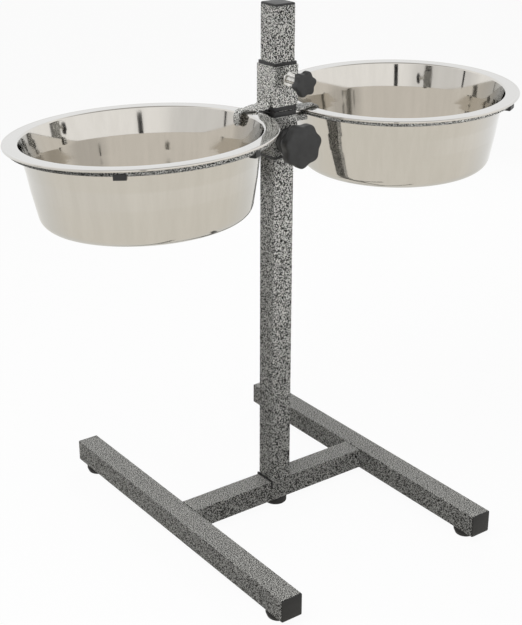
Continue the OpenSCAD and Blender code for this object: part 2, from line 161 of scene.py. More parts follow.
# The soft edge of a leg cap, as a depth under its face, an inset and a corner radius
CAP_EDGE = ((0.5 * MM, 0.0, CAP_CORNER), (0.15 * MM, 0.4 * MM, 1.0 * MM), (0.0, 1.2 * MM, 1.0 * MM))
TOP_GROOVE = 0.3 * MM
TOP_GROOVE_INSET = 0.8 * MM
TOP_INSET = 0.1 * MM
TOP_CORNER = 0.9 * MM
TOP_WALL = 1.0 * MM
TOP_SHOULDER = 1.2 * MM

# The feet under the legs: bore and recess of the screw, and the dome from top to sole
FOOT_BORE = 2.2 * MM
FOOT_RECESS = 5.0 * MM
FOOT_TOP_INSET = 0.8 * MM
FOOT_TOP_BEND = 0.6 * MM
FOOT_WIDEST = 0.62
FOOT_SIDE_BEND = 2.5 * MM
FOOT_SOLE_INSET = 2.2 * MM
FOOT_SOLE_BEND = 2.2 * MM
FOOT_LIP_BEND = 0.4 * MM
FOOT_SEAT_BEND = 0.3 * MM

# The weld beads, by their radius, and the ripple along them
BEAD_ROW = 0.35 * MM
RIPPLE_PITCH = 2.4 * MM
RIPPLE_SHARE = 0.14
BEAD_SIDES = 12
LEG_TOP_BEAD = 1.3 * MM
LEG_SIDE_BEAD = 2.3 * MM
POST_SIDE_BEAD = 1.8 * MM
POST_FACE_BEAD = 1.2 * MM
ARM_BEAD = 1.1 * MM
HOOK_BEAD = 1.0 * MM


# Small helpers for node trees

def new_material(name):
    """A material with a plain principled shader; returns it, its node tree and the shader."""
    material = bpy.data.materials.new(name)
    material.use_nodes = True
    tree = material.node_tree
    return material, tree, tree.nodes["Principled BSDF"]


def add(tree, kind, **values):
    """A new shader node with the given properties or input values."""
    made = tree.nodes.new(kind)
    for key, value in values.items():
        if key in made.inputs:
            made.inputs[key].default_value = value
        else:
            setattr(made, key, value)
    return made


def ramp(tree, source, stops, smooth=True):
    """A colour ramp over a source socket; stops are (place, (r, g, b))."""
    made = tree.nodes.new("ShaderNodeValToRGB")
    made.color_ramp.interpolation = "EASE" if smooth else "LINEAR"
    elements = made.color_ramp.elements
    while len(elements) < len(stops):
        elements.new(0.5)
    for element, (place, colour) in zip(elements, stops):
        element.position = place
        element.color = (*colour, 1.0)
    tree.links.new(source, made.inputs["Fac"])
    return made


def grey(value):
    return (value, value, value)


# Materials

def hammered_paint(name, tint):
    """Grey hammer paint: pale worm-like specks between dark veins, all of it times a tint."""
    material, tree, shader = new_material(name)
    link = tree.links.new
    place = add(tree, "ShaderNodeTexCoord")
    worms = add(tree, "ShaderNodeTexNoise", Scale=1000.0, Detail=0.0, Roughness=0.5, Distortion=0.2)
    cloud = add(tree, "ShaderNodeTexNoise", Scale=45.0, Detail=2.0, Roughness=0.5)
    link(place.outputs["Object"], worms.inputs["Vector"])
    link(place.outputs["Object"], cloud.inputs["Vector"])
    colour = ramp(tree, worms.outputs["Fac"], [
        (0.44, (0.008, 0.008, 0.007)), (0.485, (0.05, 0.05, 0.047)),
        (0.515, (0.36, 0.36, 0.343)), (0.56, (0.64, 0.636, 0.606))], smooth=False)
    tone = ramp(tree, cloud.outputs["Fac"], [(0.3, grey(0.94 * tint)), (0.7, grey(tint))])
    mixed = add(tree, "ShaderNodeMix", data_type="RGBA", blend_type="MULTIPLY")
    mixed.inputs["Factor"].default_value = 1.0
    link(colour.outputs["Color"], mixed.inputs["A"])
    link(tone.outputs["Color"], mixed.inputs["B"])
    link(mixed.outputs["Result"], shader.inputs["Base Color"])
    bump = add(tree, "ShaderNodeBump", Strength=0.6, Distance=0.0003)
    link(worms.outputs["Fac"], bump.inputs["Height"])
    link(bump.outputs["Normal"], shader.inputs["Normal"])
    gloss = ramp(tree, worms.outputs["Fac"], [(0.35, grey(0.28)), (0.65, grey(0.42))])
    link(gloss.outputs["Color"], shader.inputs["Roughness"])
    shader.inputs["Specular IOR Level"].default_value = 0.2
    return material


def moulded_plastic(name, dark, light, rough):
    """Matte moulded plastic or rubber with a fine grain and faint cloudy tone."""
    material, tree, shader = new_material(name)
    link = tree.links.new
    place = add(tree, "ShaderNodeTexCoord")
    cloud = add(tree, "ShaderNodeTexNoise", Scale=90.0, Detail=4.0, Roughness=0.6)
    grain = add(tree, "ShaderNodeTexNoise", Scale=1600.0, Detail=3.0, Roughness=0.6)
    link(place.outputs["Object"], cloud.inputs["Vector"])
    link(place.outputs["Object"], grain.inputs["Vector"])
    colour = ramp(tree, cloud.outputs["Fac"], [(0.3, dark), (0.7, light)])
    link(colour.outputs["Color"], shader.inputs["Base Color"])
    gloss = ramp(tree, grain.outputs["Fac"], [(0.3, grey(rough - 0.08)), (0.7, grey(rough + 0.1))])
    link(gloss.outputs["Color"], shader.inputs["Roughness"])
    bump = add(tree, "ShaderNodeBump", Strength=0.2, Distance=0.0002)
    link(grain.outputs["Fac"], bump.inputs["Height"])
    link(bump.outputs["Normal"], shader.inputs["Normal"])
    return material


def polished_steel():
    """Polished stainless sheet, warm face on and greyer at a glance, with faint streaks up its walls."""
    material, tree, shader = new_material("stainless")
    link = tree.links.new
    place = add(tree, "ShaderNodeTexCoord")
    stretch = add(tree, "ShaderNodeMapping")
    stretch.inputs["Scale"].default_value = (1.0, 1.0, 0.05)
    link(place.outputs["Object"], stretch.inputs["Vector"])
    streak = add(tree, "ShaderNodeTexNoise", Scale=90.0, Detail=3.0, Roughness=0.6)
    link(stretch.outputs["Vector"], streak.inputs["Vector"])
    cloud = add(tree, "ShaderNodeTexNoise", Scale=28.0, Detail=3.0, Roughness=0.55)
    link(place.outputs["Object"], cloud.inputs["Vector"])
    warm = ramp(tree, streak.outputs["Fac"], [
        (0.3, (0.69, 0.66, 0.61)), (0.7, (0.72, 0.69, 0.64))])
    glance = add(tree, "ShaderNodeLayerWeight", Blend=0.5)
    share = ramp(tree, glance.outputs["Facing"], [(0.35, grey(0.0)), (0.75, grey(1.0))])
    mixed = add(tree, "ShaderNodeMix", data_type="RGBA")
    link(share.outputs["Color"], mixed.inputs["Factor"])
    link(warm.outputs["Color"], mixed.inputs["A"])
    mixed.inputs["B"].default_value = (0.66, 0.655, 0.64, 1.0)
    link(mixed.outputs["Result"], shader.inputs["Base Color"])
    gloss = ramp(tree, cloud.outputs["Fac"], [(0.3, grey(0.05)), (0.7, grey(0.085))])
    link(gloss.outputs["Color"], shader.inputs["Roughness"])
    wave = add(tree, "ShaderNodeTexNoise", Scale=14.0, Detail=1.0, Roughness=0.4)
    link(place.outputs["Object"], wave.inputs["Vector"])
    dents = add(tree, "ShaderNodeBump", Strength=1.0, Distance=0.0004)
    link(wave.outputs["Fac"], dents.inputs["Height"])
    bump = add(tree, "ShaderNodeBump", Strength=0.015, Distance=0.0003)
    link(streak.outputs["Fac"], bump.inputs["Height"])
    link(dents.outputs["Normal"], bump.inputs["Normal"])
    link(bump.outputs["Normal"], shader.inputs["Normal"])
    shader.inputs["Metallic"].default_value = 1.0
    return material


def bright_zinc():
    """Bright plated steel for screws, nuts, studs and the collar."""
    material, tree, shader = new_material("bright_zinc")
    link = tree.links.new
    place = add(tree, "ShaderNodeTexCoord")
    cloud = add(tree, "ShaderNodeTexNoise", Scale=300.0, Detail=4.0, Roughness=0.6)
    link(place.outputs["Object"], cloud.inputs["Vector"])
    colour = ramp(tree, cloud.outputs["Fac"], [(0.3, (0.62, 0.61, 0.58)), (0.7, (0.80, 0.79, 0.76))])
    link(colour.outputs["Color"], shader.inputs["Base Color"])
    gloss = ramp(tree, cloud.outputs["Fac"], [(0.3, grey(0.08)), (0.7, grey(0.16))])
    link(gloss.outputs["Color"], shader.inputs["Roughness"])
    shader.inputs["Metallic"].default_value = 1.0
    return material


finish = {
    "hammered_paint": hammered_paint("hammered_paint", 1.0),
    # painted light: the same hammer paint made 1.3 times lighter for the clamp, standing in for light the
    # bowls reflect onto it
    "pale_paint": hammered_paint("pale_paint", 1.3),
    "black_plastic": moulded_plastic("black_plastic", grey(0.016), grey(0.026), 0.45),
    "rubber_foot": moulded_plastic("rubber_foot", grey(0.010), grey(0.018), 0.62),
    "stainless": polished_steel(),
    "bright_zinc": bright_zinc(),
}
slot_of = {part["node"]: part["material_slot"] for part in frame["record"]["subparts"]}
body_of = {node: thing["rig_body"] for node, thing in nodes.items()}


def coat(slot, body):
    """The finish of a piece on a body; the clamp gets a lighter copy of the hammer paint, painted light for
    the light the bowls reflect onto it.
    """
    if (slot, body) == ("hammered_paint", "clamp"):
        return finish["pale_paint"]
    return finish[slot]


# Making meshes

def place_piece(mesh, name, body, slot, *stands_for):
    """Puts a mesh in the scene as a piece that rides on a body and stands for some CAD nodes."""
    piece = bpy.data.objects.new(name, mesh)
    bpy.context.scene.collection.objects.link(piece)
    mesh.materials.append(coat(slot, body))
    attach(piece, body)
    if stands_for:
        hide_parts(*stands_for)
    return piece


def stand_in(mesh, node):
    """A piece that stands for one CAD node, on its body and in its material slot."""
    return place_piece(mesh, node + "_fine", body_of[node], slot_of[node], node)


def finished(shape, name, sharp_angle=40):
    """A smooth-shaded mesh from a bmesh, with edges sharper than an angle kept crisp."""
    bmesh.ops.recalc_face_normals(shape, faces=shape.faces)
    for face in shape.faces:
        face.smooth = True
    mesh = bpy.data.meshes.new(name)
    shape.to_mesh(mesh)
    shape.free()
    mesh.set_sharp_from_angle(angle=math.radians(sharp_angle))
    return mesh


def softened(node, width, drawn=0.0):
    """Stands for a CAD node: a copy with soft edges, its top (or its foot, below 0) drawn out along Z."""
    touching = 0.01 * MM
    same_place = 0.002 * MM
    flat_angle = math.radians(0.5)
    edge_angle = math.radians(35)
    shape = bmesh.new()
    shape.from_mesh(nodes[node].data)
    low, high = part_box(node)
    end = high.z if drawn > 0 else low.z
    for vert in shape.verts:
        if abs(vert.co.z - end) < touching:
            vert.co.z += drawn
    bmesh.ops.remove_doubles(shape, verts=shape.verts, dist=same_place)
    bmesh.ops.dissolve_limit(shape, angle_limit=flat_angle, verts=shape.verts, edges=shape.edges)
    sharp = [e for e in shape.edges if len(e.link_faces) == 2 and e.calc_face_angle() > edge_angle]
    bmesh.ops.bevel(shape, geom=sharp, offset=width, segments=2, profile=0.5, affect="EDGES",
                    clamp_overlap=True)
    return stand_in(finished(shape, node + "_fine", 32), node)


def rounded(corners, steps=8):
    """Points along a line of (r, z, bend radius) corners, each bend an arc of that radius."""
    points = [Vector(corners[0][:2])]
    for before, corner, after in zip(corners, corners[1:], corners[2:]):
        here = Vector(corner[:2])
        back = (Vector(before[:2]) - here).normalized()
        on = (Vector(after[:2]) - here).normalized()
        half = back.angle(on) / 2
        reach = corner[2] / math.tan(half)
        centre = here + (back + on).normalized() * (corner[2] / math.sin(half))
        first = here + back * reach - centre
        last = here + on * reach - centre
        turn = first.angle_signed(last)
        for i in range(steps + 1):
            points.append(centre + Matrix.Rotation(-turn * i / steps, 2) @ first)
    points.append(Vector(corners[-1][:2]))
    return points


def offset_line(points, distance):
    """The same line of points moved sideways, to its left, by a distance."""
    moved = []
    for i, point in enumerate(points):
        before = points[max(i - 1, 0)]
        after = points[min(i + 1, len(points) - 1)]
        along = (after - before).normalized()
        moved.append(point + Vector((-along.y, along.x)) * distance)
    return moved


def skin(shape, rings, closed_along=False):
    """Faces between rings of vertices; a ring of one vertex closes to a point."""
    pairs = list(zip(rings, rings[1:]))
    if closed_along:
        pairs.append((rings[-1], rings[0]))
    for low, high in pairs:
        count = max(len(low), len(high))
        for i in range(count):
            j = (i + 1) % count
            corners = [low[i % len(low)], low[j % len(low)], high[j % len(high)], high[i % len(high)]]
            unique = list(dict.fromkeys(corners))
            if len(unique) > 2:
                shape.faces.new(unique)


def lathe(section, steps, name, closed=False):
    """A mesh of revolution about Z from a section of (r, z) points; a point with r = 0 is one vertex."""
    shape = bmesh.new()
    rings = []
    for r, z in section:
        count = 1 if r < 1e-7 else steps
        turns = [2 * math.pi * i / steps for i in range(count)]
        rings.append([shape.verts.new((r * math.cos(t), r * math.sin(t), z)) for t in turns])
    skin(shape, rings, closed_along=closed)
    return finished(shape, name)


def sector(section, middle, length, radius, steps, name):
    """Part of a mesh of revolution: a closed section swept over a length of arc about Z, with flat ends."""
    shape = bmesh.new()
    rings = []
    for i in range(steps + 1):
        turn = middle + (i / steps - 0.5) * length / radius
        rings.append([shape.verts.new((r * math.cos(turn), r * math.sin(turn), z)) for r, z in section])
    skin(shape, rings)
    shape.faces.new(rings[0])
    shape.faces.new(rings[-1])
    return finished(shape, name)


def loft(outlines, name, sharp_angle=40):
    """A closed mesh through outlines of equal length, each a list of 3-D points, capped at both ends."""
    shape = bmesh.new()
    rings = [[shape.verts.new(point) for point in outline] for outline in outlines]
    skin(shape, rings)
    shape.faces.new(rings[0])
    shape.faces.new(rings[-1])
    return finished(shape, name, sharp_angle)


def square_outline(width, corner, height, steps=5):
    """A rounded square about Z at a height."""
    points = []
    reach = width / 2 - corner
    for quarter in range(4):
        for k in range(steps + 1):
            turn = math.pi / 2 * (quarter + k / steps)
            diagonal = math.pi / 4 + quarter * math.pi / 2
            x = reach * math.copysign(1, math.cos(diagonal)) + corner * math.cos(turn)
            y = reach * math.copysign(1, math.sin(diagonal)) + corner * math.sin(turn)
            points.append((x, y, height))
    return points


def along_front(start, height):
    """The frame of a knob: Z of the piece runs to the front from a distance before the post's axis."""
    return Matrix.Translation((0, -start, height)) @ Matrix.Rotation(math.pi / 2, 4, "X")


# Bowls, rings and clips

def bowl_frame(side):
    """The frame of a bowl: its origin is on the bowl's axis at the top of the tilted rim."""
    about_x, about_y = (math.radians(angle) for angle in TILT[side])
    place = Matrix.Translation((side * BOWL_X, 0, RIM_HEIGHT - side * RING_STEP / 2))
    return place @ Matrix.Rotation(about_y, 4, "Y") @ Matrix.Rotation(about_x, 4, "X")


def ring_frame(side):
    """The frame of a ring: as the bowl's, but hanging a little lower at the post."""
    drop = RING_DROP[side]
    lean = -side * drop / (2 * RING_R)
    return bowl_frame(side) @ Matrix.Translation((0, 0, -drop / 2)) @ Matrix.Rotation(lean, 4, "Y")


def bowl(side):
    """A polished bowl of one sheet: floor, sloped wall, flat rim and a rolled bead at its edge."""
    half = SHEET / 2
    flat = -half - BEAD_STEP
    bead = RIM_R - EDGE_WIDTH
    middle = rounded([
        (0.0, half - BOWL_DEPTH), (BASE_R, half - BOWL_DEPTH, FLOOR_BEND),
        (*LOWER_FLARE, FLARE_BEND), (*UPPER_FLARE, FLARE_BEND), (MOUTH_R, flat, LIP_BEND),
        (bead - 2 * BEAD_STEP, flat, 2 * BEAD_STEP), (bead + 2 * BEAD_STEP, -half, 2 * BEAD_STEP),
        (RIM_R - half, -half, EDGE_BEND), (RIM_R - half, half - EDGE_DROP, EDGE_BEND),
        (bead, half - EDGE_DROP)])
    upper = offset_line(middle, half)
    under = offset_line(middle, -half)
    upper[0].x = 0.0
    under[0].x = 0.0
    node = SIDE_NAME[side] + "_bowl"
    mesh = lathe([tuple(p) for p in upper + under[::-1]], BOWL_STEPS, node)
    mesh.transform(bowl_frame(side))
    return stand_in(mesh, node)


def ring(side):
    """The round bar under a bowl's rim."""
    radius = RING_BAR / 2
    sides = 20
    turns = [2 * math.pi * i / sides for i in range(sides)]
    section = [(RING_R + radius * math.cos(t), RING_Z + radius * math.sin(t)) for t in turns]
    node = SIDE_NAME[side] + "_ring"
    mesh = lathe(section, BOWL_STEPS, node, closed=True)
    mesh.transform(ring_frame(side))
    return stand_in(mesh, node)


def ring_clips(side):
    """Black plastic clips snapped on the bar from below, with soft lower corners."""
    half = RING_BAR / 2
    wall = half + CLIP_WALL
    low = -half - CLIP_DROP
    outside = rounded([(-wall, 0.0), (-wall, low, CLIP_CORNER), (wall, low, CLIP_CORNER), (wall, 0.0)], 4)
    turns = [-math.pi * i / 12 for i in range(13)]
    seat = [Vector((half * math.cos(t), half * math.sin(t))) for t in turns]
    section = [(RING_R + p.x, RING_Z + p.y) for p in outside + seat]
    shape = bmesh.new()
    for angle, share in CLIP_SHARES[side].items():
        shape.from_mesh(sector(section, math.radians(angle), CLIP_LENGTH * share, RING_R, 8, "clip"))
    node = SIDE_NAME[side] + "_ring_clips"
    mesh = finished(shape, node)
    mesh.transform(ring_frame(side))
    return stand_in(mesh, node)


# Hooks

def spaced(points, count):
    """Points evenly spaced along a line of points, from its first to its last."""
    marks = [0.0]
    for start, end in zip(points, points[1:]):
        marks.append(marks[-1] + (end - start).length)
    result = []
    piece = 0
    for i in range(count + 1):
        want = marks[-1] * i / count
        while piece < len(points) - 2 and marks[piece + 1] < want:
            piece += 1
        gap = max(marks[piece + 1] - marks[piece], 1e-9)
        result.append(points[piece].lerp(points[piece + 1], (want - marks[piece]) / gap))
    return result


def strip_outline(centre, out, width, thick, corner):
    """The rounded cross-section of a strip that lies across Y, with its face along a direction."""
    points = []
    for quarter in range(4):
        diagonal = math.pi / 4 + quarter * math.pi / 2
        y = math.copysign(width / 2 - corner, math.cos(diagonal))
        rise = math.copysign(thick / 2 - corner, math.sin(diagonal))
        for k in range(4):
            turn = math.pi / 2 * (quarter + k / 3)
            points.append(centre + Vector((0, y + corner * math.cos(turn), 0))
                          + out * (rise + corner * math.sin(turn)))
    return points


def hook(side):
    """A bent strip from the clamp over a bowl's rim: a wide root, a narrow run and a round-ended tip."""
    node = SIDE_NAME[side] + "_hook"
    low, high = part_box(node)
    run = low.z + HOOK_DROP
    bends = [(HOOK_ROOT_X, high.z), (HOOK_ROOT_X, run, HOOK_BEND),
             (HOOK_TIP_X, run, HOOK_BEND), (HOOK_TIP_X, low.z)]
    line = spaced(rounded(bends, 10), HOOK_STEPS)
    length = sum((b - a).length for a, b in zip(line, line[1:]))
    wide_part = high.z - run + HOOK_BEND
    outlines = []
    for i, point in enumerate(line):
        along = (line[min(i + 1, HOOK_STEPS)] - line[max(i - 1, 0)]).normalized()
        out = Vector((-side * along.y, 0, along.x))
        gone = length * i / HOOK_STEPS
        share = min(max((gone - wide_part) / HOOK_TAPER, 0.0), 1.0)
        width = HOOK_ROOT_WIDTH + (HOOK_WIDTH - HOOK_ROOT_WIDTH) * share * share * (3 - 2 * share)
        left = length - gone
        if left < width / 2:
            width = 2 * math.sqrt(max(width * left - left * left, (HOOK_TIP_WIDTH / 2) ** 2))
        corner = min(HOOK_CORNER, 0.45 * width)
        centre = Vector((side * point.x, 0, point.y))
        outlines.append(strip_outline(centre, out, width, HOOK_THICK, corner))
    return stand_in(loft(outlines, node, 50), node)


# Knobs

def star_grip(radius, height, lobes, hollow, edge):
    """Outlines of a star grip along Z with soft lobes and rounded edges."""
    steps = LOBE_STEPS * lobes
    bends = [math.pi / 8 * i for i in range(5)]
    levels = [(edge * (1 - math.cos(t)), edge * (1 - math.sin(t))) for t in bends]
    levels += [(height - rise, inset) for rise, inset in levels[::-1]]
    outlines = []
    for rise, inset in levels:
        outline = []
        for k in range(steps):
            angle = 2 * math.pi * k / steps
            dip = hollow * (1 - math.cos(lobes * (angle - GRIP_TURN))) / 2
            reach = radius * (1 - dip) - inset
            outline.append((reach * math.cos(angle), reach * math.sin(angle), rise))
        outlines.append(outline)
    return outlines


def height_knob():
    """The large star knob: a stepped hub behind the grip."""
    low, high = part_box("height_knob_grip")
    length = high.y - low.y
    shape = bmesh.new()
    neck = BIG_HUB_R - HUB_STEP
    inside_grip = BIG_HUB_LENGTH + 1.0 * MM
    hub = rounded([
        (0.0, HUB_GAP), (BIG_HUB_R, HUB_GAP, HUB_BEND), (BIG_HUB_R, HUB_STEP_START, HUB_BEND),
        (neck, HUB_STEP_END, HUB_BEND), (neck, inside_grip)], 5)
    shape.from_mesh(lathe([tuple(p) for p in hub], 96, "hub"))
    height = length - BIG_HUB_LENGTH
    grip = loft(star_grip(BIG_GRIP_R, height, BIG_LOBES, BIG_HOLLOW, BIG_EDGE), "grip")
    grip.transform(Matrix.Translation((0, 0, BIG_HUB_LENGTH)))
    shape.from_mesh(grip)
    mesh = finished(shape, "height_knob")
    mesh.transform(along_front(-high.y, stud_height("height_knob_stud")))
    return stand_in(mesh, "height_knob_grip")


def stud_height(node):
    """Height of a stud's axis above the floor."""
    low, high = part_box(node)
    return (low.z + high.z) / 2


def clamp_knob():
    """The small star knob."""
    low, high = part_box("clamp_knob_grip")
    length = high.y - low.y
    mesh = loft(star_grip(SMALL_GRIP_R, length, SMALL_LOBES, SMALL_HOLLOW, SMALL_EDGE), "clamp_knob")
    mesh.transform(along_front(-high.y, stud_height("clamp_knob_stud")))
    return stand_in(mesh, "clamp_knob_grip")


def threaded_stud(node):
    """A stud with a V thread cut along it."""
    low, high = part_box(node)
    length = high.y - low.y
    sides = 36
    rows_per_pitch = 8
    rows = round(length / THREAD_PITCH * rows_per_pitch)
    outlines = []
    for row in range(rows + 1):
        along = length * row / rows
        outline = []
        for k in range(sides):
            angle = 2 * math.pi * k / sides
            phase = (along / THREAD_PITCH + k / sides) % 1.0
            reach = STUD_R - THREAD_DEPTH * abs(2 * phase - 1)
            outline.append((reach * math.cos(angle), reach * math.sin(angle), along))
        outlines.append(outline)
    mesh = loft(outlines, node, 60)
    mesh.transform(along_front(-high.y, stud_height(node)))
    return stand_in(mesh, node)


def hex_nut(node, start):
    """A nut with chamfered corners and a bore, its first flat at a start angle."""
    low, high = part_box(node)
    height = high.y - low.y
    flats = (high.z - low.z) / 2
    face = NUT_FACE * flats
    steps = 72
    outlines = [[], [], [], [], [], []]
    for k in range(steps):
        angle = 2 * math.pi * k / steps
        corner = flats / math.cos((angle + math.pi / 6) % (math.pi / 3) - math.pi / 6)
        drop = (corner - face) * math.tan(NUT_CHAMFER)
        turn = angle + start
        section = [(STUD_R, 0.0), (face, 0.0), (corner, drop),
                   (corner, height - drop), (face, height), (STUD_R, height)]
        for outline, (reach, rise) in zip(outlines, section):
            outline.append((reach * math.cos(turn), reach * math.sin(turn), rise))
    mesh = loft(outlines, node, 20)
    mesh.transform(along_front(-high.y, stud_height(node)))
    return stand_in(mesh, node)


def collar():
    """The bright collar behind the small knob, with a turned groove."""
    low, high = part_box("clamp_knob_collar")
    length = high.y - low.y
    radius = (high.z - low.z) / 2
    groove = radius - 0.7 * MM
    end_bend = 0.5 * MM
    lip_bend = 0.3 * MM
    groove_bend = 0.2 * MM
    section = rounded([
        (STUD_R, 0.0), (radius, 0.0, end_bend), (radius, 0.55 * length, lip_bend),
        (groove, 0.6 * length, groove_bend), (groove, 0.75 * length, groove_bend),
        (radius, 0.8 * length, lip_bend), (radius, length, end_bend), (STUD_R, length)], 4)
    mesh = lathe([tuple(p) for p in section], 64, "collar", closed=True)
    mesh.transform(along_front(-high.y, stud_height("clamp_knob_stud")))
    return stand_in(mesh, "clamp_knob_collar")


# Caps and feet

def leg_cap(node):
    """A black end cap: a soft-edged face with a dark groove between it and the tube."""
    low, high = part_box(node)
    width = high.x - low.x
    front = low.y < 0
    spigot = width - SPIGOT_INSET
    neck = width - CAP_GROOVE_INSET
    rim = width - CAP_INSET
    levels = [
        (-SPIGOT_DEPTH, spigot, CAP_CORNER), (0.0, spigot, CAP_CORNER),
        (0.0, neck, CAP_CORNER), (CAP_GROOVE, neck, CAP_CORNER), (CAP_GROOVE, rim, CAP_CORNER)]
    levels += [(CAP_FLANGE - depth, rim - inset, corner) for depth, inset, corner in CAP_EDGE]
    mesh = loft([square_outline(w, corner, rise) for rise, w, corner in levels], node, 30)
    centre = (low + high) / 2
    face = low.y + CAP_FLANGE if front else high.y - CAP_FLANGE
    quarter = math.pi / 2 if front else -math.pi / 2
    mesh.transform(Matrix.Translation((centre.x, face, centre.z)) @ Matrix.Rotation(quarter, 4, "X"))
    return stand_in(mesh, node)


def post_cap():
    """The black cap on the post: a flat top with rounded shoulders."""
    low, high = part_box("post_cap")
    width = high.x - low.x
    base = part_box("post")[1].z
    spigot = width - SPIGOT_INSET
    neck = width - TOP_GROOVE_INSET
    rim = width - TOP_INSET
    levels = [(-SPIGOT_DEPTH, spigot), (0.0, spigot), (0.0, neck),
              (TOP_GROOVE, neck), (TOP_GROOVE, rim), (TOP_WALL, rim)]
    for i in range(1, 7):
        turn = math.pi / 12 * i
        rise = TOP_WALL + TOP_SHOULDER * math.sin(turn)
        levels.append((rise, rim - 2 * TOP_SHOULDER * (1 - math.cos(turn))))
    mesh = loft([square_outline(w, TOP_CORNER, rise) for rise, w in levels], "post_cap", 30)
    mesh.transform(Matrix.Translation((0, 0, base)))
    return stand_in(mesh, "post_cap")


def foot(node):
    """A domed rubber disc under a leg, with a recess for its screw."""
    low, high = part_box(node)
    radius = (high.x - low.x) / 2
    height = high.z - low.z
    centre = (low + high) / 2
    section = rounded([
        (FOOT_BORE, height), (radius - FOOT_TOP_INSET, height, FOOT_TOP_BEND),
        (radius, FOOT_WIDEST * height, FOOT_SIDE_BEND), (radius - FOOT_SOLE_INSET, 0.0, FOOT_SOLE_BEND),
        (FOOT_RECESS, 0.0, FOOT_LIP_BEND), (FOOT_RECESS, height / 2, FOOT_SEAT_BEND),
        (FOOT_BORE, height / 2)], 6)
    mesh = lathe([tuple(p) for p in section], 72, node, closed=True)
    mesh.transform(Matrix.Translation((centre.x, centre.y, low.z)))
    return stand_in(mesh, node)


# Weld beads

def bead(name, body, start, end, size):
    """A rippled weld bead along a straight line, on a body of the frame."""
    start = Vector(start)
    end = Vector(end)
    along = (end - start).normalized()
    across = along.orthogonal().normalized()
    other = along.cross(across)
    length = (end - start).length
    rows = max(round(length / BEAD_ROW), 8)
    turns = [2 * math.pi * k / BEAD_SIDES for k in range(BEAD_SIDES)]
    outlines = []
    for row in range(rows + 1):
        share = row / rows
        ripple = 1.0 + RIPPLE_SHARE * math.sin(2 * math.pi * length * share / RIPPLE_PITCH)
        taper = min(1.0, math.sqrt(max(1.0 - (2 * share - 1) ** 8, 0.0)) + 0.1)
        reach = size * ripple * taper
        centre = start + along * length * share
        outlines.append([centre + (across * math.cos(t) + other * math.sin(t)) * reach for t in turns])
    return place_piece(loft(outlines, name, 60), name, body, "hammered_paint")


def frame_welds():
    """Beads where the crossbar meets the legs and where the post meets the crossbar."""
    bar_low, bar_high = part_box("right_crossbar")
    half = (bar_high.y - bar_low.y) / 2
    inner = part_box("right_leg")[0].x
    reach = half - 1 * MM
    bottom = bar_low.z + 2 * MM
    shoulder = bar_high.z - 3 * MM
    faces = {"front": -half, "back": half}
    for side in (LEFT, RIGHT):
        x = side * inner
        word = SIDE_NAME[side]
        bead(word + "_weld_top", "stand", (x, -reach, bar_high.z), (x, reach, bar_high.z), LEG_TOP_BEAD)
        for face, y in faces.items():
            bead(word + "_weld_" + face, "stand", (x, y, bottom), (x, y, shoulder), LEG_SIDE_BEAD)
    foot_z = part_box("post")[0].z
    seam_end = -half + 7 * MM
    bead("post_weld_right", "stand", (half, -reach, foot_z), (half, reach, foot_z), POST_SIDE_BEAD)
    for face, y in faces.items():
        bead("post_weld_" + face, "stand", (seam_end, y, foot_z), (reach, y, foot_z), POST_FACE_BEAD)


def holder_welds():
    """Beads where the arms meet the carrier's sleeve and where the hooks meet the clamp's."""
    for side in (LEFT, RIGHT):
        word = SIDE_NAME[side]
        arm_low, arm_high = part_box(word + "_arm")
        sleeve_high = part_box("carrier_sleeve")[1]
        x = side * sleeve_high.x
        top = min(arm_high.z, sleeve_high.z)
        for face, y in (("front", arm_low.y), ("back", arm_high.y)):
            bead(f"{word}_arm_weld_{face}", "carrier", (x, y, arm_low.z), (x, y, top), ARM_BEAD)
        hook_low, hook_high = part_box(word + "_hook")
        clamp_low, clamp_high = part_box("clamp_sleeve")
        x = side * clamp_high.x
        bottom = clamp_low.z + 4 * MM
        top = hook_high.z - 1 * MM
        for face, y in (("front", hook_low.y), ("back", hook_high.y)):
            bead(f"{word}_hook_weld_{face}", "clamp", (x, y, bottom), (x, y, top), HOOK_BEAD)


# Every CAD node takes the better finish, and those without a finer piece keep their shape

for node, thing in nodes.items():
    thing.data.materials.clear()
    thing.data.materials.append(coat(slot_of[node], body_of[node]))

for side in (LEFT, RIGHT):
    bowl(side)
    ring(side)
    ring_clips(side)
    hook(side)
height_knob()
clamp_knob()
collar()
for node in ("height_knob_stud", "clamp_knob_stud"):
    threaded_stud(node)
hex_nut("carrier_nut", math.pi / 2)
hex_nut("clamp_nut", math.pi / 3)
for node in nodes:
    if node.endswith(("front_cap", "back_cap")):
        leg_cap(node)
    elif node == "center_foot":
        softened(node, MIDDLE_FOOT_EDGE)
    elif node.endswith("_foot"):
        foot(node)
    elif node.endswith("_liner"):
        softened(node, LINER_EDGE, LINER_GROWTH.get(node, 0.0))
post_cap()
frame_welds()
holder_welds()


# The studio; its azimuths are in degrees from the camera's own

WORLD_LIGHT = 0.14
CEILING_LEVEL = 0.45
GREY_WALL_AZIMUTH = -62
GREY_WALL_LEVEL = 0.78
FLOOR_LIGHT = 0.05
FLOOR_COLOUR = 0.9
FLOOR_GLOW = 0.95
FLOOR_SIZE = 60.0
NEAR_FLOOR = 0.6
FAR_FLOOR = 1.8
NEAR_FLOOR_COLOUR = (0.765, 0.745, 0.695)


def heading(azimuth):
    """The level direction from the post at an azimuth."""
    return Matrix.Rotation(CAMERA_TURN + math.radians(azimuth), 3, "Z") @ Vector((0, -1, 0))


def ray_shares(tree):
    """Two sockets: 1 for rays from the camera, and 1 for rays from metal and glass; each is else 0."""
    path = add(tree, "ShaderNodeLightPath")
    shine = add(tree, "ShaderNodeMath", operation="MAXIMUM")
    tree.links.new(path.outputs["Is Glossy Ray"], shine.inputs[0])
    tree.links.new(path.outputs["Is Transmission Ray"], shine.inputs[1])
    return path.outputs["Is Camera Ray"], shine.outputs["Value"]


